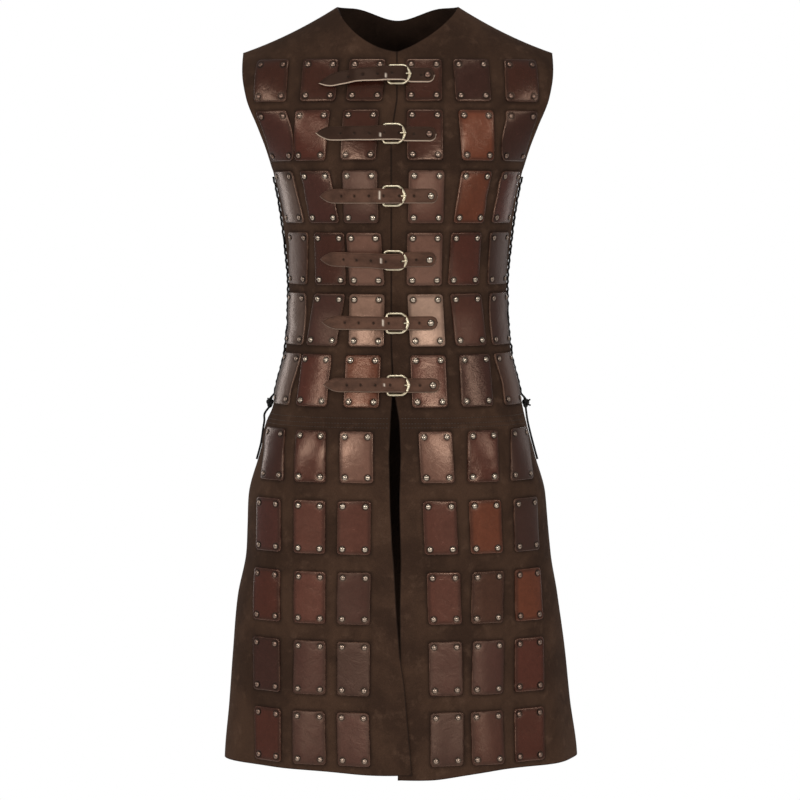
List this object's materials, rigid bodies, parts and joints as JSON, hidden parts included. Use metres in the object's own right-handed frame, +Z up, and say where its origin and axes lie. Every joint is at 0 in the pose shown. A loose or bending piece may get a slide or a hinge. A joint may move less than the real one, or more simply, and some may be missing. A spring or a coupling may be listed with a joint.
{
  "type": "sleeveless medieval leather jacket with riveted plates",
  "caption": "Knee-length sleeveless leather jacket, worn and hollow, covered with rows of riveted leather plates, closed in front by buckled straps and laced at the sides.",
  "frame": {"origin": "midway between the two shoulder seams, at the height of the middle of their slope, where the wearer's shoulders hold the jacket", "axes": "+Z up along the body, -Y out of the front, +X to the right of a viewer of the front"},
  "size_m": [0.5035, 0.3249, 1.075],
  "materials": {
    "soft_leather": "dark brown suede, matt with a short nap",
    "plate_leather": "red-brown waxed hard leather, semi-gloss and unevenly dyed",
    "strap_leather": "mid-brown strap leather, satin, with paler cut edges",
    "brass": "antique brass, polished on its high parts",
    "rivet_metal": "dark antiqued steel with bright domes",
    "lace": "round black cord"
  },
  "bodies": {
    "root": {"bodice_front_left": "soft_leather", "bodice_front_right": "soft_leather", "bodice_back": "soft_leather", "skirt_front_left": "soft_leather", "skirt_front_right": "soft_leather", "skirt_back": "soft_leather", "strap_1": "strap_leather", "strap_2": "strap_leather", "strap_3": "strap_leather", "strap_4": "strap_leather", "strap_5": "strap_leather", "strap_6": "strap_leather", "chape_1": "strap_leather", "chape_2": "strap_leather", "chape_3": "strap_leather", "chape_4": "strap_leather", "chape_5": "strap_leather", "chape_6": "strap_leather", "buckle_frame_1": "brass", "buckle_frame_2": "brass", "buckle_frame_3": "brass", "buckle_frame_4": "brass", "buckle_frame_5": "brass", "buckle_frame_6": "brass", "buckle_prong_1": "brass", "buckle_prong_2": "brass", "buckle_prong_3": "brass", "buckle_prong_4": "brass", "buckle_prong_5": "brass", "buckle_prong_6": "brass", "lace_left": "lace", "lace_knot_left": "lace", "lace_end_left": "lace", "lace_right": "lace", "lace_knot_right": "lace", "lace_end_right": "lace"}
  },
  "joints": []
}
